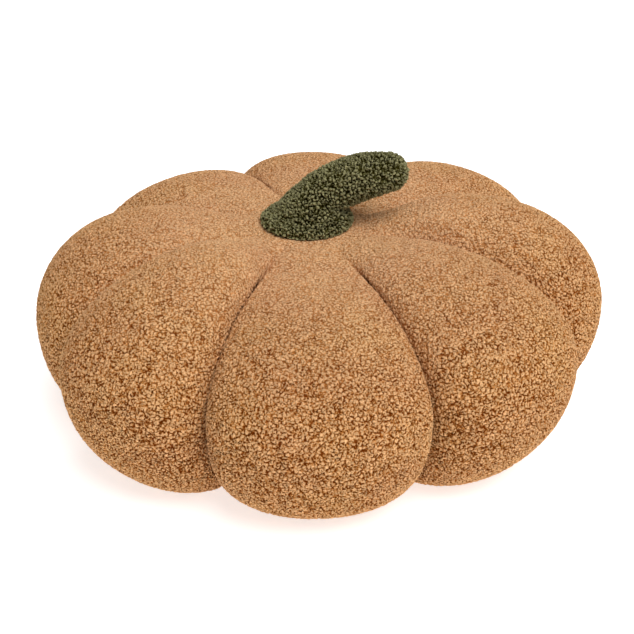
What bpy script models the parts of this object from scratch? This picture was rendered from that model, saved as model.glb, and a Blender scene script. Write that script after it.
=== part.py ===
"""Pumpkin cushion: a stuffed body of eight sewn lobes, with a stuffed stem sewn on the middle of its top.

Metres, +Z up, the front towards -Y. The whole stands on Z = 0, with its middle over the origin.
"""

import math
from typing import NamedTuple

import bmesh
import bpy
import numpy as np

# The body, as its mean gore runs from the seat under the stem, over the crown, round and under
SEAT_RADIUS = 0.036
SEAT_HEIGHT = 0.153
CROWN_RADIUS = 0.107
CROWN_HEIGHT = 0.157
BODY_RADIUS = 0.225
WAIST_HEIGHT = 0.081
FOOT_RADIUS = 0.129
FOOT_HEIGHT = -0.008
UNDERSIDE_HEIGHT = 0.020
SHOULDER_FULLNESS = 2.05
TUCK_FULLNESS = 2.03

# How far a seam is drawn in, as a share of BODY_RADIUS, at the seat's edge and at the waist
SEAM_START = 0.14
SEAM_AT_WAIST = 0.19

# A gore's cross-section from seam to seam: 1 at its crown line, 0 on its seams
BULGE_WIDTH = 2.2
BULGE_ROUND = 0.5

# Height over which the stuffing is pressed flat by the floor
FLOOR_SOFTNESS = 0.004

# Rows down a gore and steps across it
BODY_ROWS = 44
GORE_STEPS = 10

# Clearance between the seat and the stem's foot
SEAM_GAP = 0.0003

STEM_SIDES = 24
STEM_STEPS = 3
TIP_STEPS = 6


class Gore(NamedTuple):
    """One gore: the angle of its left seam, in degrees from the front towards +X, and its own fullness."""

    name: str
    seam: float
    reach: float
    crown: float
    waist: float


GORES = (
    Gore("front", -21.5, 0.227, 0.149, 0.086),
    Gore("front_right", 27.0, 0.227, 0.162, 0.085),
    Gore("right", 72.5, 0.228, 0.170, 0.088),
    Gore("back_right", 113.0, 0.231, 0.159, 0.086),
    Gore("back", 156.5, 0.224, 0.153, 0.080),
    Gore("back_left", 200.0, 0.211, 0.152, 0.071),
    Gore("left", 246.0, 0.208, 0.159, 0.082),
    Gore("front_left", 297.5, 0.223, 0.169, 0.088),
)


class Ring(NamedTuple):
    """One ring of the stem: its middle's place to the right and above the seat, its lean to +X in degrees, its radius."""

    right: float
    above: float
    lean: float
    radius: float


STEM_RINGS = (
    Ring(0.000, 0.000, 0, 0.0310),
    Ring(0.000, 0.004, 0, 0.0338),
    Ring(0.003, 0.009, 3, 0.0300),
    Ring(0.007, 0.014, 12, 0.0245),
    Ring(0.010, 0.019, 24, 0.0205),
    Ring(0.014, 0.024, 38, 0.0182),
    Ring(0.022, 0.029, 52, 0.0175),
    Ring(0.034, 0.034, 65, 0.0177),
    Ring(0.047, 0.0375, 78, 0.0178),
    Ring(0.060, 0.038, 95, 0.0160),
)

TAN_TEDDY = (0.52, 0.25, 0.095)
GREEN_TEDDY = (0.074, 0.065, 0.024)
TEDDY_ROUGHNESS = 0.95


def ease(share):
    """0 to 1 with level ends."""
    return share * share * (3 - 2 * share)


def evenly(points, count):
    """The same number of points at equal steps along a line of (radius, height) points."""
    lengths = np.linalg.norm(np.diff(points, axis=0), axis=1)
    along = np.concatenate([[0], np.cumsum(lengths)])
    wanted = np.linspace(0, along[-1], count)
    return np.stack([np.interp(wanted, along, points[:, axis]) for axis in (0, 1)], axis=1)


def crown_line(reach, crown, waist):
    """(radius, height) down the middle of a gore, from the seat's edge to the middle of the underside."""
    share = np.linspace(0, 1, 200)
    turn = share * math.pi / 2
    outer, lower = 2 / SHOULDER_FULLNESS, 2 / TUCK_FULLNESS
    rise = np.stack(
        [SEAT_RADIUS + (CROWN_RADIUS - SEAT_RADIUS) * share, SEAT_HEIGHT + (crown - SEAT_HEIGHT) * ease(share)], 1
    )
    shoulder = np.stack(
        [
            CROWN_RADIUS + (reach - CROWN_RADIUS) * np.sin(turn) ** outer,
            waist + (crown - waist) * np.cos(turn) ** outer,
        ],
        1,
    )
    tuck = np.stack(
        [
            FOOT_RADIUS + (reach - FOOT_RADIUS) * np.cos(turn) ** lower,
            FOOT_HEIGHT + (waist - FOOT_HEIGHT) * (1 - np.sin(turn) ** lower),
        ],
        1,
    )
    under = np.stack(
        [FOOT_RADIUS * (1 - share), FOOT_HEIGHT + (UNDERSIDE_HEIGHT - FOOT_HEIGHT) * ease(share)], 1
    )
    return evenly(np.concatenate([rise, shoulder[1:], tuck[1:], under[1:]]), BODY_ROWS)


def seam_line():
    """(radius, height) down a seam: the mean crown line, drawn in square to itself and ever deeper outwards."""
    crown = crown_line(BODY_RADIUS, CROWN_HEIGHT, WAIST_HEIGHT)
    along = np.gradient(crown, axis=0)
    along /= np.linalg.norm(along, axis=1, keepdims=True)
    inward = np.stack([along[:, 1], -along[:, 0]], 1)
    outwards = np.clip((crown[:, 0] - SEAT_RADIUS) / (BODY_RADIUS - SEAT_RADIUS), 0, 1)
    depth = BODY_RADIUS * (SEAM_START * outwards + (SEAM_AT_WAIST - SEAM_START) * outwards**2)
    drawn = crown + inward * depth[:, None]
    drawn[:, 0] = np.maximum(drawn[:, 0], 0)
    return drawn


def pressed(height):
    """A height above the floor, with what would reach below it pressed flat."""
    if height <= -FLOOR_SOFTNESS:
        return 0.0
    if height >= FLOOR_SOFTNESS:
        return height
    return (height + FLOOR_SOFTNESS) ** 2 / (4 * FLOOR_SOFTNESS)


def body_columns():
    """Each column of the body's points, as (x, y, z) rows, from gore to gore round the whole."""
    seam = seam_line()
    columns = []
    for index, gore in enumerate(GORES):
        crown = crown_line(gore.reach, gore.crown, gore.waist)
        following = GORES[(index + 1) % len(GORES)].seam
        span = (following - gore.seam) % 360
        for step in range(GORE_STEPS):
            across = math.sin(math.pi * (step / GORE_STEPS - 0.5))
            bulge = (1 - abs(across) ** BULGE_WIDTH) ** BULGE_ROUND
            angle = math.radians(gore.seam + span * (across + 1) / 2)
            radii, heights = (seam + (crown - seam) * bulge).T
            columns.append(
                [(r * math.sin(angle), -r * math.cos(angle), pressed(z)) for r, z in zip(radii, heights)]
            )
    return columns


def stem_rings():
    """Each ring of the stem's points, from its foot to its tip."""
    table = np.array(STEM_RINGS, dtype=float)
    tangents = np.gradient(table, axis=0)
    rows = []
    for first in range(len(table) - 1):
        for step in range(STEM_STEPS):
            t = step / STEM_STEPS
            rows.append(
                (2 * t**3 - 3 * t**2 + 1) * table[first]
                + (t**3 - 2 * t**2 + t) * tangents[first]
                + (3 * t**2 - 2 * t**3) * table[first + 1]
                + (t**3 - t**2) * tangents[first + 1]
            )
    last = STEM_RINGS[-1]
    lean = math.radians(last.lean)
    for step in range(TIP_STEPS):
        turn = math.pi / 2 * step / TIP_STEPS
        reach = last.radius * math.sin(turn)
        rows.append(
            (
                last.right + reach * math.sin(lean),
                last.above + reach * math.cos(lean),
                last.lean,
                last.radius * math.cos(turn),
            )
        )
    rings = []
    for right, above, lean_degrees, radius in rows:
        lean = math.radians(lean_degrees)
        ring = []
        for side in range(STEM_SIDES):
            turn = 2 * math.pi * side / STEM_SIDES
            ahead = radius * math.cos(turn)
            ring.append(
                (
                    right + ahead * math.cos(lean),
                    radius * math.sin(turn),
                    above - ahead * math.sin(lean),
                )
            )
        rings.append(ring)
    return rings


def stem_tip():
    """The last point of the stem's rounded end."""
    last = STEM_RINGS[-1]
    lean = math.radians(last.lean)
    return (last.right + last.radius * math.sin(lean), 0.0, last.above + last.radius * math.cos(lean))


def loft(name, rings, start, end):
    """A closed mesh through rings of points, closed by a fan to a point at each end."""
    bm = bmesh.new()
    made = [[bm.verts.new(point) for point in ring] for ring in rings]
    for ring, following in zip(made, made[1:]):
        for side, corner in enumerate(ring):
            after = (side + 1) % len(ring)
            bm.faces.new((corner, ring[after], following[after], following[side]))
    for ring, point in ((made[0], start), (made[-1], end)):
        pole = bm.verts.new(point)
        for side, corner in enumerate(ring):
            bm.faces.new((pole, corner, ring[(side + 1) % len(ring)]))
    bmesh.ops.recalc_face_normals(bm, faces=bm.faces)
    mesh = bpy.data.meshes.new(name)
    bm.to_mesh(mesh)
    bm.free()
    mesh.shade_smooth()
    return mesh


def teddy(name, colour):
    """Plain teddy cloth in one colour."""
    material = bpy.data.materials.new(name)
    material.use_nodes = True
    shader = material.node_tree.nodes["Principled BSDF"]
    shader.inputs["Base Color"].default_value = (*colour, 1.0)
    shader.inputs["Roughness"].default_value = TEDDY_ROUGHNESS
    shader.inputs["Metallic"].default_value = 0.0
    return material


def place(mesh, material, parent, height=0.0):
    """An object of this mesh over the middle of the body, at this height."""
    obj = bpy.data.objects.new(mesh.name, mesh)
    obj.data.materials.append(material)
    obj.parent = parent
    obj.location.z = height
    bpy.context.scene.collection.objects.link(obj)
    return obj


def main():
    """Builds the cushion in an emptied scene."""
    for old in list(bpy.data.objects):
        bpy.data.objects.remove(old)

    columns = body_columns()
    points = np.array(columns)
    middle = (points.max(axis=(0, 1)) + points.min(axis=(0, 1))) / 2
    cushion = bpy.data.objects.new("pumpkin_cushion", None)
    cushion.location = (-middle[0], -middle[1], 0)
    bpy.context.scene.collection.objects.link(cushion)

    rings = [[column[row] for column in columns] for row in range(BODY_ROWS - 1)]
    body = loft("cushion_body", rings, (0, 0, SEAT_HEIGHT), (0, 0, UNDERSIDE_HEIGHT))
    place(body, teddy("tan_teddy", TAN_TEDDY), cushion)
    stem = loft("stem", stem_rings(), (0, 0, 0), stem_tip())
    place(stem, teddy("green_teddy", GREEN_TEDDY), cushion, SEAT_HEIGHT + SEAM_GAP)


main()
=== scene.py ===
"""Looks of the pumpkin cushion: eight stuffed gores of curly teddy cloth and a leaning stuffed stem.

Every length is in metres, +Z is up and the front is -Y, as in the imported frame.
"""

from __future__ import annotations

import logging
import math
from collections.abc import Callable, Sequence
from dataclasses import dataclass, field
from typing import NamedTuple

import bmesh
import bpy
import numpy as np
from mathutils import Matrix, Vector
from mathutils.kdtree import KDTree


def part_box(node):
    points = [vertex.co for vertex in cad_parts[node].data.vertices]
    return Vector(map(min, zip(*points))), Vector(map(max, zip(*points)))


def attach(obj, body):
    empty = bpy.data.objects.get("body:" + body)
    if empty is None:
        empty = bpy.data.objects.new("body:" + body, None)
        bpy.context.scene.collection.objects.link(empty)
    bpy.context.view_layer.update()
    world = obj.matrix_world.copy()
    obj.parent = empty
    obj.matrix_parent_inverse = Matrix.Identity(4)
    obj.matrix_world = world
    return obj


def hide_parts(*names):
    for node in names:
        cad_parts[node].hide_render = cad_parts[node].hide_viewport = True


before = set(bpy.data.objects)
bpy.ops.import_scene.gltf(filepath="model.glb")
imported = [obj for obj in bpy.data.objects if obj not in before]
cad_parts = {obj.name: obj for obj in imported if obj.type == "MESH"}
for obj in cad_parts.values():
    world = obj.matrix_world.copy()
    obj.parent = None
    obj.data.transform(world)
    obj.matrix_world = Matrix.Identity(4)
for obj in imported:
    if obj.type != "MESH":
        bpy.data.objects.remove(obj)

log = logging.getLogger("pumpkin_cushion")

MM = 0.001
BODY = "root"
# Blender's noise texture stays almost wholly between these two values.
NOISE_LOW = 0.3
NOISE_HIGH = 0.7


def linear(colour: str) -> tuple[float, float, float, float]:
    """Turns an sRGB hex colour to linear RGBA.

    Args:
        colour: Six hex digits, such as "c4935f".

    Returns:
        Red, green, blue and an alpha of 1.
    """
    parts = [int(colour[at : at + 2], 16) / 255 for at in (0, 2, 4)]
    return tuple(p / 12.92 if p <= 0.04045 else ((p + 0.055) / 1.055) ** 2.4 for p in parts) + (1.0,)


def add_node(
    tree: bpy.types.NodeTree, kind: str, inputs: dict[str | int, object] | None = None, **settings: object
) -> bpy.types.Node:
    """Adds a node with its settings, values and links.

    Args:
        tree: The material's or the geometry's node tree.
        kind: The node's type, as Blender names it.
        inputs: For each socket's name or number, its value or the output that it is linked from.
        settings: The node's own options.

    Returns:
        The new node.
    """
    node = tree.nodes.new(kind)
    for name, value in settings.items():
        setattr(node, name, value)
    for socket, value in (inputs or {}).items():
        if isinstance(value, bpy.types.NodeSocket):
            tree.links.new(value, node.inputs[socket])
        else:
            node.inputs[socket].default_value = value
    return node


def ease(share: np.ndarray | float) -> np.ndarray | float:
    """Smooths a share of 0 to 1 so that it starts and ends level."""
    return share * share * (3 - 2 * share)


@dataclass(frozen=True)
class TeddyCloth:
    """Teddy cloth: a knitted backing with a short pile of curled polyester yarn, brushed and tumbled into nubs.

    The cloth is matt, with a sheen that pales it at a glancing angle. Its colour holds painted shade, the dark
    crevice colour low between the nubs and along the seams, and painted highlight, the paler tip colour on the
    nubs' tops.
    Pile that is pressed stands lower and shows more of its tip colour, and is painted paler and less saturated
    there, as under the light from above. The yarn's fibres, about 0.02 mm thick, are too fine to show, so they are
    drawn as lighter and darker specks of the size strand, partly random tone and partly painted glints.
    """

    name: str
    slot: str
    # crevice is a painted shade colour for low between the nubs and along the seams, tip a painted highlight
    # colour for the nubs' tops, and flank lies between them.
    crevice: str
    flank: str
    tip: str
    nub: float = 2.35 * MM
    height: float = 1.9 * MM
    sheen: float = 0.12
    sheen_tint: str = "f8cc96"
    wobble: float = 0.8 * MM
    wobble_size: float = 1.5 * MM
    curl: float = 1.35 * MM
    curl_share: float = 0.35
    crevice_width: float = 0.24
    raggedness: float = 1.2
    wall_bend: float = 0.6
    dome_edge: tuple[float, float] = (0.1, 0.95)
    dome_share: float = 0.4
    tuft: float = 7 * MM
    tuft_change: float = 0.2
    top_level: float = 0.78
    flank_level: tuple[float, float] = (0.12, 0.52)
    tip_level: tuple[float, float] = (0.45, 0.85)
    # Painted seam shade: where it fades out, and how dark it makes the colour at the seam.
    painted_seam_shade_level: tuple[float, float] = (0.45, 1.0)
    painted_seam_shade_value: float = 0.3
    nub_tint: float = 0.06
    patch: float = 45 * MM
    patch_tint: float = 0.03
    patch_hue: tuple[float, float] = (0.497, 0.502)
    strand: float = 0.85 * MM
    strand_tint: float = 0.32
    strand_bump: float = 0.15
    # Painted highlight: where the pile is pressed, on the cushion's top, its colour loses saturation and turns
    # paler, as under the light from above.
    pressed_and_top_lit_loft: tuple[float, float] = (0.45, 0.8)
    pressed_and_top_lit_saturation: float = 0.94
    roughness: float = 0.95
    sheen_roughness: float = 0.4
    bump: float = 1.0

    def curls(
        self, tree: bpy.types.NodeTree, place: bpy.types.NodeSocket, loft: bpy.types.NodeSocket
    ) -> tuple[bpy.types.NodeSocket, bpy.types.NodeSocket]:
        """Adds the nodes that give the pile's nubs, the same in a material and in Geometry Nodes.

        Args:
            tree: The tree that they are added to.
            place: The place on the cloth before the pile was raised.
            loft: How high the pile stands there, 1 where nothing has pressed it.

        Returns:
            The nubs' height, 0 in a crevice and 1 on top, and a number for each nub, from 0 to 1.
        """
        drift = add_node(
            tree, "ShaderNodeTexNoise", {"Vector": place, "Scale": 1 / self.wobble_size, "Detail": 1.0}
        )
        centred = add_node(
            tree, "ShaderNodeVectorMath", {0: drift.outputs["Color"], 1: (0.5, 0.5, 0.5)}, operation="SUBTRACT"
        )
        shift = add_node(
            tree, "ShaderNodeVectorMath", {0: centred.outputs[0], "Scale": 2 * self.wobble}, operation="SCALE"
        )
        moved = add_node(tree, "ShaderNodeVectorMath", {0: place, 1: shift.outputs[0]}, operation="ADD")
        # A cut through the cells shows them a sixth closer together, so they are drawn that much larger.
        cells = {"Vector": moved.outputs[0], "Scale": 0.84 / self.nub}
        nubs = add_node(tree, "ShaderNodeTexVoronoi", cells)
        edges = add_node(tree, "ShaderNodeTexVoronoi", cells, feature="DISTANCE_TO_EDGE")
        curls = add_node(tree, "ShaderNodeTexNoise", {"Vector": place, "Scale": 1 / self.curl, "Detail": 1.0})
        curl = add_node(
            tree,
            "ShaderNodeMapRange",
            {
                "Value": curls.outputs["Fac"],
                "From Min": NOISE_LOW,
                "From Max": NOISE_HIGH,
                "To Min": -0.5,
                "To Max": 0.5,
            },
        )
        wall = add_node(
            tree, "ShaderNodeMath", {0: edges.outputs["Distance"], 1: 1 / self.crevice_width}, operation="MULTIPLY"
        )
        ragged = add_node(
            tree,
            "ShaderNodeMath",
            {0: curl.outputs["Result"], 1: self.raggedness, 2: wall.outputs[0]},
            operation="MULTIPLY_ADD",
            use_clamp=True,
        )
        side = add_node(tree, "ShaderNodeMath", {0: ragged.outputs[0], 1: self.wall_bend}, operation="POWER")
        near, far = self.dome_edge
        dome = add_node(
            tree,
            "ShaderNodeMapRange",
            {"Value": nubs.outputs["Distance"], "From Min": near, "From Max": far, "To Min": 1.0, "To Max": 0.0},
        )
        nub = add_node(
            tree, "ShaderNodeMix", {"Factor": self.dome_share, 2: side.outputs[0], 3: dome.outputs["Result"]}
        )
        height = add_node(
            tree,
            "ShaderNodeMath",
            {0: curl.outputs["Result"], 1: self.curl_share, 2: nub.outputs[0]},
            operation="MULTIPLY_ADD",
            use_clamp=True,
        )
        # Pressed pile keeps its tops and loses the depth between them. In the material the same height sets the
        # painted crevice shade and tip highlight, so pressed pile is painted paler.
        below = add_node(tree, "ShaderNodeMath", {0: height.outputs[0], 1: self.top_level}, operation="SUBTRACT")
        tumbled = add_node(tree, "ShaderNodeTexNoise", {"Vector": place, "Scale": 1 / self.tuft, "Detail": 1.0})
        uneven = add_node(
            tree,
            "ShaderNodeMapRange",
            {
                "Value": tumbled.outputs["Fac"],
                "From Min": NOISE_LOW,
                "From Max": NOISE_HIGH,
                "To Min": 1 - self.tuft_change,
                "To Max": 1 + self.tuft_change,
            },
        )
        stands = add_node(tree, "ShaderNodeMath", {0: uneven.outputs["Result"], 1: loft}, operation="MULTIPLY")
        pile = add_node(
            tree,
            "ShaderNodeMath",
            {0: below.outputs[0], 1: stands.outputs[0], 2: self.top_level},
            operation="MULTIPLY_ADD",
        )
        number = add_node(tree, "ShaderNodeSeparateXYZ", {"Vector": nubs.outputs["Color"]})
        return pile.outputs[0], number.outputs[0]

    def material(self) -> bpy.types.Material:
        """Makes the cloth's material, whose nubs lie where the mesh has them.

        Returns:
            The material.
        """
        material = bpy.data.materials.new(self.name)
        material.use_nodes = True
        tree = material.node_tree
        tree.nodes.clear()
        place = add_node(tree, "ShaderNodeAttribute", attribute_name="rest").outputs["Vector"]
        from_seam = add_node(tree, "ShaderNodeAttribute", attribute_name="from_seam").outputs["Fac"]
        loft = add_node(tree, "ShaderNodeAttribute", attribute_name="loft").outputs["Fac"]
        height, number = self.curls(tree, place, loft)
        shade = {"interpolation_type": "SMOOTHSTEP"}
        low_flank, high_flank = self.flank_level
        low_tip, high_tip = self.tip_level
        low_seam, high_seam = self.painted_seam_shade_level
        # Painted shade and highlight: low between the nubs the colour turns to the crevice colour, standing in for
        # the shade that the nubs cast on each other, and on their tops it turns to the paler tip colour, a painted
        # highlight. The raised pile and the bump shade them as well.
        depth = add_node(
            tree, "ShaderNodeMapRange", {"Value": height, "From Min": low_flank, "From Max": high_flank}, **shade
        )
        top = add_node(
            tree, "ShaderNodeMapRange", {"Value": height, "From Min": low_tip, "From Max": high_tip}, **shade
        )
        # Painted shade along a seam: close to a seam the colour darkens towards the crevice colour, the nubs' tops
        # staying lighter nearer to it than the hollows.
        clear_of_seam_shade = add_node(tree, "ShaderNodeMath", {0: height, 1: 0.5, 2: from_seam}, operation="MULTIPLY_ADD")
        seam = add_node(
            tree,
            "ShaderNodeMapRange",
            {"Value": clear_of_seam_shade.outputs[0], "From Min": low_seam, "From Max": high_seam},
            **shade,
        )
        lit = add_node(
            tree, "ShaderNodeMath", {0: depth.outputs["Result"], 1: seam.outputs["Result"]}, operation="MULTIPLY"
        )
        low = add_node(
            tree,
            "ShaderNodeMix",
            {"Factor": lit.outputs[0], 6: linear(self.crevice), 7: linear(self.flank)},
            data_type="RGBA",
        )
        proud = add_node(
            tree, "ShaderNodeMath", {0: top.outputs["Result"], 1: seam.outputs["Result"]}, operation="MULTIPLY"
        )
        high = add_node(
            tree,
            "ShaderNodeMix",
            {"Factor": proud.outputs[0], 6: low.outputs[2], 7: linear(self.tip)},
            data_type="RGBA",
        )
        patches = add_node(tree, "ShaderNodeTexNoise", {"Vector": place, "Scale": 1 / self.patch, "Detail": 2.0})
        strands = add_node(tree, "ShaderNodeTexNoise", {"Vector": place, "Scale": 1 / self.strand, "Detail": 1.0})
        tint = add_node(
            tree,
            "ShaderNodeMapRange",
            {"Value": number, "To Min": 1 - self.nub_tint, "To Max": 1 + self.nub_tint},
        )
        patch = add_node(
            tree,
            "ShaderNodeMapRange",
            {
                "Value": patches.outputs["Fac"],
                "From Min": NOISE_LOW,
                "From Max": NOISE_HIGH,
                "To Min": 1 - self.patch_tint,
                "To Max": 1 + self.patch_tint,
            },
        )
        # Lighter and darker fibre specks: partly random tone, partly painted glints of fibres catching the light.
        strand = add_node(
            tree,
            "ShaderNodeMapRange",
            {
                "Value": strands.outputs["Fac"],
                "From Min": NOISE_LOW,
                "From Max": NOISE_HIGH,
                "To Min": 1 - self.strand_tint,
                "To Max": 1 + self.strand_tint,
            },
        )
        yarn = add_node(
            tree, "ShaderNodeMath", {0: tint.outputs["Result"], 1: patch.outputs["Result"]}, operation="MULTIPLY"
        )
        lit_yarn = add_node(
            tree, "ShaderNodeMath", {0: yarn.outputs[0], 1: strand.outputs["Result"]}, operation="MULTIPLY"
        )
        # The painted seam shade also lowers the colour's value, down to 0.3 of it at the seam itself.
        seam_shade = add_node(
            tree, "ShaderNodeMapRange", {"Value": seam.outputs["Result"], "To Min": self.painted_seam_shade_value}
        )
        value = add_node(
            tree, "ShaderNodeMath", {0: lit_yarn.outputs[0], 1: seam_shade.outputs["Result"]}, operation="MULTIPLY"
        )
        hue = add_node(
            tree,
            "ShaderNodeMapRange",
            {
                "Value": patches.outputs["Fac"],
                "From Min": NOISE_LOW,
                "From Max": NOISE_HIGH,
                "To Min": self.patch_hue[0],
                "To Max": self.patch_hue[1],
            },
        )
        # Painted highlight: where the pile is pressed, on the cushion's top, the colour is less saturated and
        # paler, standing in for the light from above, besides the pressed pile.
        top_lit_saturation = add_node(
            tree,
            "ShaderNodeMapRange",
            {
                "Value": loft,
                "From Min": self.pressed_and_top_lit_loft[0],
                "From Max": self.pressed_and_top_lit_loft[1],
                "To Min": self.pressed_and_top_lit_saturation,
                "To Max": 1.0,
            },
        )
        fuzzy = add_node(tree, "ShaderNodeMath", {0: proud.outputs[0], 1: self.sheen}, operation="MULTIPLY")
        colour = add_node(
            tree,
            "ShaderNodeHueSaturation",
            {
                "Hue": hue.outputs["Result"],
                "Saturation": top_lit_saturation.outputs["Result"],
                "Value": value.outputs[0],
                "Color": high.outputs[2],
            },
        )
        fuzz = add_node(tree, "ShaderNodeMix", {"Factor": self.strand_bump, 2: height, 3: strands.outputs["Fac"]})
        bump = add_node(
            tree, "ShaderNodeBump", {"Height": fuzz.outputs[0], "Strength": self.bump, "Distance": self.height}
        )
        shader = add_node(
            tree,
            "ShaderNodeBsdfPrincipled",
            {
                "Base Color": colour.outputs["Color"],
                "Roughness": self.roughness,
                "Specular IOR Level": 0.0,
                "Sheen Weight": fuzzy.outputs[0],
                "Sheen Roughness": self.sheen_roughness,
                "Sheen Tint": linear(self.sheen_tint),
                "Normal": bump.outputs["Normal"],
            },
        )
        out = add_node(tree, "ShaderNodeOutputMaterial")
        tree.links.new(shader.outputs["BSDF"], out.inputs["Surface"])
        return material


# Tan polyester teddy: an orange flank, with a paler tip colour that is a painted highlight on the nubs' tops and a
# brown that is painted shade where the nubs shade each other.
TAN_TEDDY = TeddyCloth("tan_teddy_cloth", "tan_teddy", crevice="723408", flank="c07e40", tip="dcaa78")
# Dark green polyester teddy, longer in the pile: its pale tip colour is a painted highlight, over a nearly black
# crevice colour that is painted shade.
GREEN_TEDDY = TeddyCloth(
    "green_teddy_cloth",
    "green_teddy",
    crevice="302900",
    flank="605c2e",
    tip="949068",
    nub=2.3 * MM,
    height=3.2 * MM,
    sheen=0.1,
    sheen_tint="d8d2b8",
)


class PileMaker:
    """Geometry Nodes that raise a cloth's curled pile from the backing of a stuffed piece."""

    def __init__(self, cloth: TeddyCloth) -> None:
        """Builds the node tree for one cloth."""
        self.cloth = cloth
        self.material = cloth.material()
        self.tree = self._tree()

    def _tree(self) -> bpy.types.GeometryNodeTree:
        """Builds the tree: the backing's place is kept as rest, and each point moves out by its nub's height."""
        tree = bpy.data.node_groups.new(f"{self.cloth.name}_pile", "GeometryNodeTree")
        tree.interface.new_socket("Geometry", in_out="INPUT", socket_type="NodeSocketGeometry")
        tree.interface.new_socket("Pile height", in_out="INPUT", socket_type="NodeSocketFloat")
        tree.interface.new_socket("Backing depth", in_out="INPUT", socket_type="NodeSocketFloat")
        tree.interface.new_socket("Cloth", in_out="INPUT", socket_type="NodeSocketMaterial")
        tree.interface.new_socket("Geometry", in_out="OUTPUT", socket_type="NodeSocketGeometry")
        given = add_node(tree, "NodeGroupInput")
        place = add_node(tree, "GeometryNodeInputPosition")
        kept = add_node(
            tree,
            "GeometryNodeStoreNamedAttribute",
            {"Geometry": given.outputs["Geometry"], "Name": "rest", "Value": place.outputs[0]},
            data_type="FLOAT_VECTOR",
            domain="POINT",
        )
        rest = add_node(tree, "GeometryNodeInputNamedAttribute", {"Name": "rest"}, data_type="FLOAT_VECTOR")
        loft = add_node(tree, "GeometryNodeInputNamedAttribute", {"Name": "loft"}, data_type="FLOAT")
        height, _ = self.cloth.curls(tree, rest.outputs["Attribute"], loft.outputs["Attribute"])
        above = add_node(
            tree, "ShaderNodeMath", {0: height, 1: given.outputs["Pile height"]}, operation="MULTIPLY"
        )
        proud = add_node(
            tree, "ShaderNodeMath", {0: above.outputs[0], 1: given.outputs["Backing depth"]}, operation="SUBTRACT"
        )
        give = add_node(tree, "GeometryNodeInputNamedAttribute", {"Name": "give"}, data_type="FLOAT")
        allowed = add_node(
            tree, "ShaderNodeMath", {0: proud.outputs[0], 1: give.outputs["Attribute"]}, operation="MULTIPLY"
        )
        normal = add_node(tree, "GeometryNodeInputNormal")
        offset = add_node(
            tree,
            "ShaderNodeVectorMath",
            {0: normal.outputs[0], "Scale": allowed.outputs[0]},
            operation="SCALE",
        )
        raised = add_node(
            tree, "GeometryNodeSetPosition", {"Geometry": kept.outputs["Geometry"], "Offset": offset.outputs[0]}
        )
        now = add_node(tree, "GeometryNodeInputPosition")
        floor = add_node(
            tree, "ShaderNodeVectorMath", {0: now.outputs[0], 1: (-9.0, -9.0, 0.0)}, operation="MAXIMUM"
        )
        pressed = add_node(
            tree, "GeometryNodeSetPosition", {"Geometry": raised.outputs["Geometry"], "Position": floor.outputs[0]}
        )
        real = add_node(tree, "GeometryNodeRealizeInstances", {"Geometry": pressed.outputs["Geometry"]})
        dressed = add_node(
            tree,
            "GeometryNodeSetMaterial",
            {"Geometry": real.outputs["Geometry"], "Material": given.outputs["Cloth"]},
        )
        add_node(tree, "NodeGroupOutput", {"Geometry": dressed.outputs["Geometry"]})
        return tree

    def dress(self, piece: bpy.types.Object, backing_depth: float) -> None:
        """Raises the pile on a piece and leaves it a plain mesh in this cloth.

        Args:
            piece: A mesh object with the point attribute give, 1 where the pile stands free and 0 on a seam.
            backing_depth: How far the backing lies inside the outline that the pile reaches.
        """
        modifier = piece.modifiers.new("pile", "NODES")
        modifier.node_group = self.tree
        values = {"Pile height": self.cloth.height, "Backing depth": backing_depth, "Cloth": self.material}
        for item in self.tree.interface.items_tree:
            if item.in_out == "INPUT" and item.name in values:
                modifier[item.identifier] = values[item.name]
        graph = bpy.context.evaluated_depsgraph_get()
        graph.update()
        plain = bpy.data.meshes.new_from_object(
            piece.evaluated_get(graph), preserve_all_data_layers=True, depsgraph=graph
        )
        piece.modifiers.remove(modifier)
        piece.data = plain
        plain.shade_smooth()


def sew_rows(rows: Sequence[np.ndarray]) -> tuple[np.ndarray, np.ndarray]:
    """Joins rows of points, which may differ in number, by a strip of triangles between each two.

    Args:
        rows: The rows' points, each from the left seam to the right one.

    Returns:
        All the points, and the triangles' point numbers.
    """
    starts = np.concatenate([[0], np.cumsum([len(row) for row in rows])])
    strips = []
    for at, (upper, lower) in enumerate(zip(rows, rows[1:])):
        tops, bottoms = len(upper) - 1, len(lower) - 1
        top_middles = (np.arange(tops) + 0.5) / max(tops, 1)
        bottom_middles = (np.arange(bottoms) + 0.5) / max(bottoms, 1)
        under = starts[at + 1] + np.searchsorted(bottom_middles, top_middles, side="left")
        over = starts[at] + np.searchsorted(top_middles, bottom_middles, side="right")
        first, second = starts[at] + np.arange(tops), starts[at + 1] + np.arange(bottoms)
        strips.append(np.stack([first, under, first + 1], 1))
        strips.append(np.stack([second, second + 1, over], 1))
    return np.concatenate(rows), np.concatenate(strips)


def mesh_object(
    name: str, points: np.ndarray, triangles: np.ndarray, **attributes: np.ndarray
) -> bpy.types.Object:
    """Makes a mesh object.

    Args:
        name: The object's name.
        points: Its points.
        triangles: The point numbers of its triangles.
        attributes: Numbers that the mesh keeps for each point, by name.

    Returns:
        The object, linked to the scene.
    """
    mesh = bpy.data.meshes.new(name)
    mesh.from_pydata(points.tolist(), [], triangles.tolist())
    for kept, values in attributes.items():
        mesh.attributes.new(kept, "FLOAT", "POINT").data.foreach_set("value", values.astype(np.float32))
    mesh.update()
    made = bpy.data.objects.new(name, mesh)
    bpy.context.scene.collection.objects.link(made)
    return made


class Gore(NamedTuple):
    """One panel, with its own fullness.

    Its left seam has an angle, in degrees from the front towards +X, and a pull: the share of the usual depth
    to which it is drawn in near the stem.
    """

    name: str
    seam: float
    reach: float
    crown: float
    waist: float
    pull: float


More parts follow.
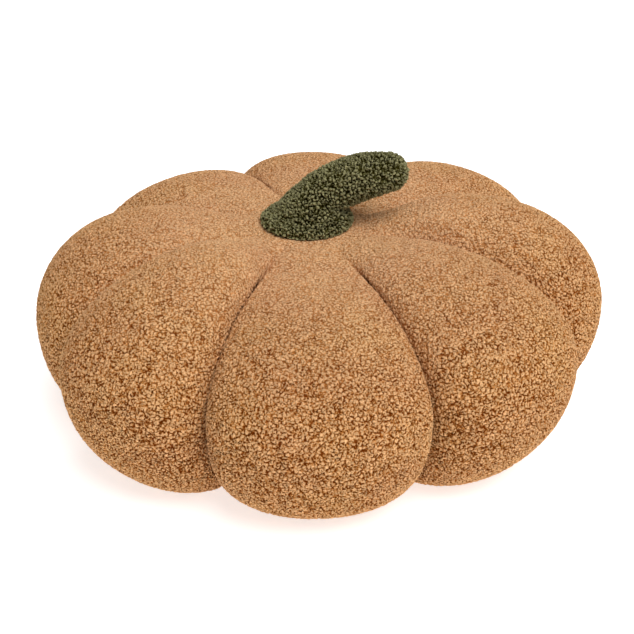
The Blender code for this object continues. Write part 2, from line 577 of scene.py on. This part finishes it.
@dataclass
class Filling:
    """Loose polyester filling, which presses the sewn cloth outwards until its seams hold it."""

    pressure: float = 4.0
    voxel: float = 5 * MM
    frames: int = 20
    cap: float = 6 * MM
    smoothing: int = 12
    neighbours: int = 6
    cloth_mass: float = 0.3
    stiffness: float = 20.0
    bending: float = 1.0

    def swell(
        self, name: str, points: np.ndarray, triangles: np.ndarray, hold: Callable[[np.ndarray], np.ndarray]
    ) -> Callable[[np.ndarray], np.ndarray]:
        """Simulates the cloth of a closed shell under the filling's pressure.

        Args:
            name: The shell's name.
            points: The slack shell's points.
            triangles: Its triangles.
            hold: Gives for places on the shell how firmly they are held, from 0 to 1.

        Returns:
            A function that gives how far the cloth moves at each of an array of places.
        """
        shell = mesh_object(name, points, triangles)
        remesh = shell.modifiers.new("voxels", "REMESH")
        remesh.mode = "VOXEL"
        remesh.voxel_size = self.voxel
        slack = bpy.data.meshes.new_from_object(shell.evaluated_get(bpy.context.evaluated_depsgraph_get()))
        shell.modifiers.clear()
        shell.data = slack
        start = mesh_points(slack)
        held = shell.vertex_groups.new(name="held")
        for at, weight in enumerate(hold(start)):
            if weight > 0:
                held.add([at], float(weight), "REPLACE")
        cloth = shell.modifiers.new("cloth", "CLOTH")
        cloth.settings.mass = self.cloth_mass
        cloth.settings.tension_stiffness = self.stiffness
        cloth.settings.compression_stiffness = self.stiffness
        cloth.settings.bending_stiffness = self.bending
        cloth.settings.use_pressure = True
        cloth.settings.uniform_pressure_force = self.pressure
        cloth.settings.vertex_group_mass = held.name
        cloth.settings.effector_weights.gravity = 0
        cloth.point_cache.frame_start = 1
        cloth.point_cache.frame_end = self.frames
        scene = bpy.context.scene
        for frame_number in range(1, self.frames + 1):
            scene.frame_set(frame_number)
        full = mesh_points(shell.evaluated_get(bpy.context.evaluated_depsgraph_get()).data)
        shell.modifiers.clear()
        scene.frame_set(1)
        move = full - start
        length = np.linalg.norm(move, axis=1, keepdims=True)
        move *= np.minimum(1, self.cap / np.maximum(length, 1e-9))
        edges = np.empty(len(slack.edges) * 2, dtype=np.int32)
        slack.edges.foreach_get("vertices", edges)
        first, second = edges.reshape(-1, 2).T
        count = np.bincount(edges, minlength=len(start))[:, None]
        for _ in range(self.smoothing):
            total = np.zeros_like(move)
            np.add.at(total, first, move[second])
            np.add.at(total, second, move[first])
            move = 0.5 * move + 0.5 * total / np.maximum(count, 1)
        tree = KDTree(len(start))
        for at, point in enumerate(start):
            tree.insert(point, at)
        tree.balance()
        bpy.data.objects.remove(shell)
        log.info("%s: %d points swell by up to %.1f mm", name, len(start), np.linalg.norm(move, axis=1).max() / MM)

        def moved(places: np.ndarray) -> np.ndarray:
            """Gives the mean movement of the shell's points round each place."""
            moves = np.empty_like(places)
            for at, place in enumerate(places):
                near = tree.find_n(place, self.neighbours)
                weights = np.array([1 / (distance + MM) ** 2 for _, _, distance in near])
                moves[at] = weights @ move[[index for _, index, _ in near]] / weights.sum()
            return moves

        return moved


@dataclass
class StuffedBody:
    """The cushion's body: gores of teddy cloth sewn edge to edge round a firm filling."""

    gores: tuple[Gore, ...] = (
        Gore("front", -21.5, 0.227, 0.149, 0.086, 0.75),
        Gore("front_right", 27.0, 0.227, 0.162, 0.085, 0.9),
        Gore("right", 72.5, 0.228, 0.170, 0.088, 1.15),
        Gore("back_right", 113.0, 0.231, 0.159, 0.086, 1.25),
        Gore("back", 156.5, 0.224, 0.153, 0.080, 1.0),
        Gore("back_left", 200.0, 0.211, 0.152, 0.071, 1.1),
        Gore("left", 246.0, 0.208, 0.159, 0.082, 1.3),
        Gore("front_left", 297.5, 0.223, 0.169, 0.088, 1.3),
    )
    seat_radius: float = 0.036
    seat_height: float = 0.153
    crown_radius: float = 0.107
    crown_height: float = 0.157
    radius: float = 0.225
    waist_height: float = 0.081
    foot_radius: float = 0.129
    foot_height: float = -0.008
    underside_height: float = 0.020
    shoulder_fullness: float = 2.05
    tuck_fullness: float = 2.03
    seam_start: float = 0.17
    seam_at_waist: float = 0.19
    bulge_width: float = 2.25
    bulge_round: float = 0.5
    valley_round: float = 0.8
    floor_softness: float = 0.004
    seen_step: float = 1.05 * MM
    hidden_step: float = 2.2 * MM
    seat_step: float = 4 * MM
    columns: int = 161
    coarse_columns: int = 33
    coarse_step: float = 6 * MM
    outline_columns: int = 81
    outline_step: float = 5 * MM
    shell_step: float = 4 * MM
    seam_hold: float = 7 * MM
    seat_hold: float = 4 * MM
    floor_hold: float = 3 * MM
    foot_blend: float = 2 * MM
    top_share: float = 0.4
    backing_depth: float = 1.2 * MM
    seam_reach: float = 1.0 * MM
    seam_shade: float = 8 * MM
    stem_foot: float = 33.5 * MM
    slackness: float = 0.96
    notch: float = 5 * MM
    notch_width: float = 3.0 * MM
    notch_start: float = 60 * MM
    # How high the pile stands along a gore, from the stem's seat to the underside. It sets the raised pile's
    # height, and with it how much painted crevice shade and pale tip highlight show: the pressed top is painted
    # paler, the flanks get more painted shade.
    loft: tuple[tuple[float, float], ...] = (
        (0.00, 0.45),
        (0.12, 0.45),
        (0.20, 0.58),
        (0.30, 0.7),
        (0.45, 0.9),
        (0.62, 1.0),
        (0.70, 0.9),
        (1.00, 0.8),
    )
    middle: np.ndarray = field(init=False)

    def __post_init__(self) -> None:
        """Puts the body's middle where the frame's solid has it."""
        low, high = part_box("cushion_body")
        self.middle = np.zeros(3)
        shares = self.rows(self.outline_step)
        gores = [self.section(at, shares, self.outline_columns) for at in range(len(self.gores))]
        own = np.concatenate(gores).reshape(-1, 3)
        centre = (np.array(low) + np.array(high) - own.min(axis=0) - own.max(axis=0)) / 2
        self.middle = centre * (1, 1, 0)

    def line(self, reach: float, crown: float, waist: float) -> np.ndarray:
        """Gives the (radius, height) points down the middle of a gore.

        Args:
            reach: The gore's greatest radius.
            crown: The height of its top.
            waist: The height of its greatest radius.

        Returns:
            Points from the seat's edge, over the crown and the waist, to the middle of the underside.
        """
        share = np.linspace(0, 1, 400)
        turn = share * math.pi / 2
        outer, lower = 2 / self.shoulder_fullness, 2 / self.tuck_fullness
        rise_radius = self.seat_radius + (self.crown_radius - self.seat_radius) * share
        rise_height = self.seat_height + (crown - self.seat_height) * ease(share)
        shoulder_radius = self.crown_radius + (reach - self.crown_radius) * np.sin(turn) ** outer
        shoulder_height = waist + (crown - waist) * np.cos(turn) ** outer
        tuck_radius = self.foot_radius + (reach - self.foot_radius) * np.cos(turn) ** lower
        tuck_height = self.foot_height + (waist - self.foot_height) * (1 - np.sin(turn) ** lower)
        under_radius = self.foot_radius * (1 - share)
        under_height = self.foot_height + (self.underside_height - self.foot_height) * ease(share)
        radii = np.concatenate([rise_radius, shoulder_radius[1:], tuck_radius[1:], under_radius[1:]])
        heights = np.concatenate([rise_height, shoulder_height[1:], tuck_height[1:], under_height[1:]])
        return np.stack([radii, heights], 1)

    def rows(self, step: float) -> np.ndarray:
        """Gives the rows' places as shares of a gore's length, wider apart where the cushion rests on them."""
        mean = self.line(self.radius, self.crown_height, self.waist_height)
        total = np.linalg.norm(np.diff(mean, axis=0), axis=1).sum()
        seen = total - self.foot_radius
        hidden = self.foot_radius * self.seen_step / (step * self.hidden_step)
        upper = np.linspace(0, seen, round(seen / step))
        lower = np.linspace(seen, total, round(hidden))
        return np.concatenate([upper, lower[1:]]) / total

    def seam(self, shares: np.ndarray, pull: float) -> np.ndarray:
        """Gives the (radius, height) points of a seam, drawn in square to the mean gore and deeper outwards."""
        fine = np.linspace(0, 1, 600)
        mean = along(self.line(self.radius, self.crown_height, self.waist_height), fine)
        heading = np.gradient(mean, axis=0)
        heading /= np.linalg.norm(heading, axis=1, keepdims=True)
        outwards = np.clip((mean[:, 0] - self.seat_radius) / (self.radius - self.seat_radius), 0, 1)
        start = self.seam_start * pull
        depth = self.radius * (start * outwards + (self.seam_at_waist - start) * outwards**2)
        radii = np.maximum(mean[:, 0] + heading[:, 1] * depth, 0)
        heights = mean[:, 1] - heading[:, 0] * depth
        return np.stack([np.interp(shares, fine, radii), np.interp(shares, fine, heights)], 1)

    def section(self, at: int, shares: np.ndarray, columns: int, fullness: float = 1.0) -> np.ndarray:
        """Gives a gore's surface as rows of points across it, from seam to seam.

        Args:
            at: The gore's number.
            shares: The rows' places along its length.
            columns: How many points a row has.
            fullness: How far it bulges between its seams, 1 as sewn and stuffed.

        Returns:
            An array of rows, points and (x, y, z).
        """
        gore, following = self.gores[at], self.gores[(at + 1) % len(self.gores)]
        crown = along(self.line(gore.reach, gore.crown, gore.waist), shares)
        across = np.sin(np.linspace(-0.5, 0.5, columns) * math.pi)
        seams = [self.seam(shares, pull) for pull in (gore.pull, following.pull)]
        headings = [np.gradient(seam, axis=0) for seam in seams]
        headings = [heading / (np.linalg.norm(heading, axis=1, keepdims=True) + 1e-9) for heading in headings]
        left = across[None, :, None] < 0
        seam, heading = (np.where(left, pair[0][:, None], pair[1][:, None]) for pair in (seams, headings))
        out = crown[:, :1]
        rise = 1 - ease(np.clip((out - self.seat_radius) / (self.crown_radius - self.seat_radius), 0, 1))
        rise = np.where(shares[:, None] < self.top_share, rise, 0)
        roundness = self.bulge_round + (self.valley_round - self.bulge_round) * rise
        bulge = fullness * (1 - np.abs(across) ** self.bulge_width) ** roundness
        span = (following.seam - gore.seam) % 360
        angle = np.radians(gore.seam + span * (across + 1) / 2)
        radii = seam[..., 0] + (out - seam[..., 0]) * bulge
        heights = seam[..., 1] + (crown[:, 1:] - seam[..., 1]) * bulge
        points = np.stack([radii * np.sin(angle), -radii * np.cos(angle), heights], -1)
        steps = np.linalg.norm(np.diff(points, axis=1, prepend=points[:, :1]), axis=2)
        from_left = np.cumsum(steps, axis=1)
        from_seam = np.minimum(from_left, from_left[:, -1:] - from_left)
        off_seat = ease(np.clip((out - self.notch_start) / self.notch_start, 0, 1))
        dip = self.notch * off_seat * ease(np.clip(1 - from_seam / self.notch_width, 0, 1))
        points[..., 0] += heading[..., 1] * dip * np.sin(angle)
        points[..., 1] -= heading[..., 1] * dip * np.cos(angle)
        points[..., 2] = self.pressed(points[..., 2] - heading[..., 0] * dip)
        return points + self.middle

    def pressed(self, heights: np.ndarray) -> np.ndarray:
        """Presses flat what would reach below the floor."""
        soft = self.floor_softness
        near = (np.clip(heights, -soft, soft) + soft) ** 2 / (4 * soft)
        return np.where(heights > soft, heights, near)

    def seat(self, edge: np.ndarray, step: float) -> list[np.ndarray]:
        """Gives the rows under the stem's foot, from the middle outwards to a gore's first row."""
        middle = self.middle + (0, 0, self.seat_height)
        count = max(2, round(self.seat_radius / step))
        return [middle + (edge - middle) * share for share in np.linspace(0, 1, count, endpoint=False)[1:]]

    def swell(self, filling: Filling) -> Callable[[np.ndarray], np.ndarray]:
        """Simulates the whole body's cloth, slack at first, with its seams, seat and underside held."""
        shares = self.rows(self.shell_step)
        points, triangles = [], []
        for at in range(len(self.gores)):
            grid = self.section(at, shares, self.coarse_columns, self.slackness)
            top = self.middle + (0, 0, self.seat_height)
            rows = [top[None]] + self.seat(grid[0], self.coarse_step) + list(grid[:-1]) + [grid[-1][:1]]
            own_points, own_triangles = sew_rows(rows)
            triangles.append(own_triangles + sum(map(len, points)))
            points.append(own_points)
        seams = np.stack([self.seam(shares, gore.pull) for gore in self.gores], 1)
        angles = np.radians([gore.seam for gore in self.gores])
        seams = np.stack([seams[..., 0] * np.sin(angles), -seams[..., 0] * np.cos(angles), seams[..., 1]], -1)
        lines = KDTree(seams[..., 0].size)
        for at, point in enumerate(seams.reshape(-1, 3) + self.middle):
            lines.insert(point, at)
        lines.balance()

        def hold(places: np.ndarray) -> np.ndarray:
            """Holds the cloth near a seam, under the stem and where it rests on the floor."""
            near = np.array([lines.find(place)[2] for place in places])
            flat = np.hypot(*(places - self.middle)[:, :2].T)
            seat = flat < self.seat_radius + self.seat_hold
            held = (near < self.seam_hold) | seat | (places[:, 2] < self.floor_hold)
            return held.astype(float)

        return filling.swell("cushion_shell", np.concatenate(points), np.concatenate(triangles), hold)

    def build(self, at: int, moved: Callable[[np.ndarray], np.ndarray] | None) -> bpy.types.Object:
        """Builds one gore's backing, with the attribute that says where its pile stands free.

        Args:
            at: The gore's number.
            moved: How far the filling moves the slack cloth, or None to leave it as sewn.

        Returns:
            The gore's object, still without its pile.
        """
        shares = self.rows(self.seen_step)
        grid = self.section(at, shares, self.columns)
        if moved:
            coarse_shares = self.rows(self.coarse_step)
            slack = self.section(at, coarse_shares, self.coarse_columns, self.slackness)
            sewn = self.section(at, coarse_shares, self.coarse_columns)
            swell = slack + moved(slack.reshape(-1, 3)).reshape(slack.shape) - sewn
            across = np.linspace(0, 1, self.coarse_columns)
            swell *= np.clip(4 * across * (1 - across), 0, 1)[None, :, None] ** 0.5
            finer = np.linspace(0, 1, self.columns)
            lengthened = np.stack([spread(column, coarse_shares, shares) for column in swell.swapaxes(0, 1)], 1)
            grid += np.stack([spread(row, across, finer) for row in lengthened], 0)
            grid[..., 2] = np.maximum(grid[..., 2], 0)
        rows = [self.middle[None] + (0, 0, self.seat_height)]
        to_seam, way = [np.zeros(1)], [np.zeros(1)]
        for row in self.seat(grid[0], self.seat_step):
            even, _ = evenly(row, self.seat_step)
            rows.append(even)
            to_seam.append(np.zeros(len(even)))
            way.append(np.zeros(len(even)))
        for share, row in zip(shares[:-1], grid[:-1]):
            resting = row[..., 2].max() < 2 * MM
            even, from_end = evenly(row, self.hidden_step if resting else self.seen_step)
            rows.append(even)
            to_seam.append(from_end)
            way.append(np.full(len(even), share))
        rows.append(grid[-1][:1])
        to_seam.append(np.zeros(1))
        way.append(np.ones(1))
        to_seam = np.concatenate(to_seam)
        points, triangles = sew_rows(rows)
        radius = np.hypot(*(points - self.middle)[:, :2].T)
        above = points[:, 2] > self.crown_height / 2
        give = ease(np.clip(to_seam / self.seam_reach, 0, 1))
        off_foot = ease(np.clip((radius - self.stem_foot) / self.foot_blend, 0, 1))
        give = np.where(above, give * off_foot, give)
        # Painted seam shade: from_seam rises from 0 at a seam to 1 one seam_shade away and darkens the colour near
        # the seam in the material. Near the stem it is held at 1, so no painted seam shade shows there.
        closed = np.where(above, 1 - ease(np.clip(radius / self.notch_start - 1, 0, 1)), 0)
        from_seam = np.maximum(ease(np.clip(to_seam / self.seam_shade, 0, 1)), closed)
        loft = np.interp(np.concatenate(way), *zip(*self.loft))
        return mesh_object(
            f"gore_{self.gores[at].name}", points, triangles, give=give, from_seam=from_seam, loft=loft
        )


class StemRing(NamedTuple):
    """One ring of the stem: its middle to the right and above the seat, its lean to +X in degrees, its radius."""

    right: float
    above: float
    lean: float
    radius: float


@dataclass
class Stem:
    """The stuffed stem: a wide round foot, from which it leans over to the right and ends blunt."""

    rings: tuple[StemRing, ...] = (
        StemRing(0.000, 0.000, 0, 0.0328),
        StemRing(0.000, 0.004, 0, 0.0338),
        StemRing(0.004, 0.009, 3, 0.0280),
        StemRing(0.007, 0.014, 12, 0.0245),
        StemRing(0.010, 0.019, 24, 0.0205),
        StemRing(0.014, 0.024, 38, 0.0182),
        StemRing(0.022, 0.029, 52, 0.0175),
        StemRing(0.034, 0.0345, 64, 0.0172),
        StemRing(0.047, 0.0385, 75, 0.0164),
        StemRing(0.0605, 0.0405, 86, 0.0140),
    )
    seam_gap: float = 0.3 * MM
    foot_seam: float = 1.0 * MM
    step: float = 0.6 * MM
    backing_depth: float = 1.6 * MM
    stretches: int = 20
    tip_rows: int = 34

    def ring_rows(self) -> np.ndarray:
        """Gives smooth rows of (right, above, lean, radius) from the foot to the end of its round tip."""
        table = np.array(self.rings)
        tangents = np.gradient(table, axis=0)
        t = np.linspace(0, 1, self.stretches, endpoint=False)[:, None]
        rows = [
            (2 * t**3 - 3 * t**2 + 1) * table[at]
            + (t**3 - 2 * t**2 + t) * tangents[at]
            + (3 * t**2 - 2 * t**3) * table[at + 1]
            + (t**3 - t**2) * tangents[at + 1]
            for at in range(len(table) - 1)
        ]
        last = self.rings[-1]
        lean = math.radians(last.lean)
        turn = np.linspace(0, math.pi / 2, self.tip_rows)[:, None]
        ahead = last.radius * np.sin(turn)
        dome = [
            last.right + ahead * math.sin(lean),
            last.above + ahead * math.cos(lean),
            np.full_like(turn, last.lean),
            last.radius * np.cos(turn),
        ]
        return np.concatenate(rows + [np.concatenate(dome, 1)])

    def build(self, middle: np.ndarray, seat_height: float) -> bpy.types.Object:
        """Builds the stem's backing on the body's seat.

        Args:
            middle: The middle of the body on the floor.
            seat_height: The height of the body's seat.

        Returns:
            The stem's object, still without its pile.
        """
        foot = middle + (0, 0, seat_height + self.seam_gap)
        rows, give = [foot[None]], [np.zeros(1)]
        ring_rows = self.ring_rows()
        under = [(0.0, 0.0, 0.0, ring_rows[0, 3] * share) for share in (0.25, 0.5, 0.75)]
        for right, above, lean, radius in np.concatenate([under, ring_rows]):
            lean = math.radians(lean)
            sides = max(3, round(2 * math.pi * radius / self.step))
            turn = np.linspace(0, 2 * math.pi, sides + 1)
            ahead = radius * np.cos(turn)
            ring = np.stack(
                [right + ahead * math.cos(lean), radius * np.sin(turn), above - ahead * math.sin(lean)], 1
            )
            rows.append(foot + ring)
            give.append(np.full(sides + 1, ease(min(above / self.foot_seam, 1.0))))
        points, triangles = sew_rows(rows)
        give = np.concatenate(give)
        full = np.ones_like(give)
        stem = mesh_object("stem_teddy", points, triangles, give=give, from_seam=full, loft=full)
        close_seam(stem)
        return stem


@dataclass
class Studio:
    """A pale sweep of floor under one wide soft light, seen from a little above."""

    target: tuple[float, float, float] = (-0.00984, 0.00142, 0.08)
    distance: float = 1.3748
    elevation: float = 27.02
    lens: float = 101.1
    shift: tuple[float, float] = (0.0153, -0.0133)
    floor_colour: str = "f7f7f7"
    floor_half: float = 8.0
    floor_glow: float = 0.65
    tent_power: float = 2.6
    tent_width: float = 50.0
    tent_place: tuple[float, float, float] = (0.65, -0.8, 2.0)
    room_light: float = 0.3

    def floor(self) -> None:
        """Lays the floor."""
        half = self.floor_half
        corners = half * np.array([(-1, -1, 0), (1, -1, 0), (1, 1, 0), (-1, 1, 0)], dtype=float)
        floor = mesh_object("floor", corners, np.array([(0, 1, 2), (0, 2, 3)]))
        paper = bpy.data.materials.new("matt_white_paper")
        paper.use_nodes = True
        shader = paper.node_tree.nodes["Principled BSDF"]
        shader.inputs["Base Color"].default_value = linear(self.floor_colour)
        shader.inputs["Roughness"].default_value = 0.9
        shader.inputs["Specular IOR Level"].default_value = 0.1
        shader.inputs["Emission Color"].default_value = (1.0, 1.0, 1.0, 1.0)
        shader.inputs["Emission Strength"].default_value = self.floor_glow
        floor.data.materials.append(paper)

    def lights(self) -> None:
        """Hangs the lights and fills the room with pale light."""
        tent = bpy.data.lights.new("overhead_light_tent", "SUN")
        tent.energy = self.tent_power
        tent.angle = math.radians(self.tent_width)
        self.hang(tent, self.tent_place)
        world = bpy.data.worlds.new("studio")
        world.use_nodes = True
        sky = world.node_tree.nodes["Background"]
        sky.inputs["Color"].default_value = (1.0, 1.0, 1.0, 1.0)
        sky.inputs["Strength"].default_value = self.room_light
        bpy.context.scene.world = world

    def hang(self, lamp: bpy.types.Light, place: tuple[float, float, float]) -> None:
        """Hangs a lamp at a place, turned to the cushion."""
        hung = bpy.data.objects.new(lamp.name, lamp)
        hung.location = place
        hung.rotation_euler = (Vector(self.target) - Vector(place)).to_track_quat("-Z", "Y").to_euler()
        bpy.context.scene.collection.objects.link(hung)

    def camera(self) -> None:
        """Sets up the camera at the photograph's angle."""
        lens = bpy.data.cameras.new("camera")
        lens.lens = self.lens
        lens.shift_x, lens.shift_y = self.shift
        camera = bpy.data.objects.new("camera", lens)
        rise = math.radians(self.elevation)
        camera.location = Vector(self.target) + self.distance * Vector((0, -math.cos(rise), math.sin(rise)))
        camera.rotation_euler = (math.pi / 2 - rise, 0, 0)
        bpy.context.scene.collection.objects.link(camera)
        bpy.context.scene.camera = camera
        bpy.context.scene.view_settings.view_transform = "Standard"


def along(line: np.ndarray, shares: np.ndarray) -> np.ndarray:
    """Gives the points at these shares of a line's length."""
    lengths = np.concatenate([[0], np.cumsum(np.linalg.norm(np.diff(line, axis=0), axis=1))])
    return spread(line, lengths, shares * lengths[-1])


def spread(values: np.ndarray, places: np.ndarray, wanted: np.ndarray) -> np.ndarray:
    """Gives each column of values, known at some places, at the wanted ones."""
    return np.stack([np.interp(wanted, places, column) for column in values.T], 1)


def evenly(row: np.ndarray, step: float) -> tuple[np.ndarray, np.ndarray]:
    """Spaces a row's points evenly.

    Args:
        row: Points along a line.
        step: How far apart the new points are, about.

    Returns:
        The new points, and how far each lies from the nearer end.
    """
    lengths = np.concatenate([[0], np.cumsum(np.linalg.norm(np.diff(row, axis=0), axis=1))])
    wanted = np.linspace(0, lengths[-1], max(2, round(lengths[-1] / step) + 1))
    return spread(row, lengths, wanted), np.minimum(wanted, lengths[-1] - wanted)


def mesh_points(mesh: bpy.types.Mesh) -> np.ndarray:
    """Gives a mesh's points as an array."""
    flat = np.empty(len(mesh.vertices) * 3)
    mesh.vertices.foreach_get("co", flat)
    return flat.reshape(-1, 3)


def close_seam(piece: bpy.types.Object) -> None:
    """Merges the points that meet where a row's end comes back to its start."""
    bm = bmesh.new()
    bm.from_mesh(piece.data)
    bmesh.ops.remove_doubles(bm, verts=bm.verts, dist=0.01 * MM)
    bmesh.ops.recalc_face_normals(bm, faces=bm.faces)
    bm.to_mesh(piece.data)
    bm.free()


def main() -> None:
    """Builds the body, the stem and the studio."""
    logging.basicConfig(level=logging.INFO, format="%(message)s")
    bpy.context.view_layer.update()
    body, stem, studio = StuffedBody(), Stem(), Studio()
    tan_pile, green_pile = PileMaker(TAN_TEDDY), PileMaker(GREEN_TEDDY)
    moved = body.swell(Filling())
    for at, gore in enumerate(body.gores):
        piece = body.build(at, moved)
        tan_pile.dress(piece, body.backing_depth)
        hand_in(piece, "cushion_body")
        log.info("%s: %d triangles", piece.name, len(piece.data.polygons))
    top = stem.build(body.middle, body.seat_height)
    green_pile.dress(top, stem.backing_depth)
    hand_in(top, "stem")
    log.info("%s: %d triangles", top.name, len(top.data.polygons))
    studio.floor()
    studio.lights()
    studio.camera()


def hand_in(piece: bpy.types.Object, node: str) -> None:
    """Attaches a stuffed piece to the body and hides the frame's part that it stands for."""
    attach(piece, BODY)
    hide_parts(node)


if __name__ == "__main__":
    main()
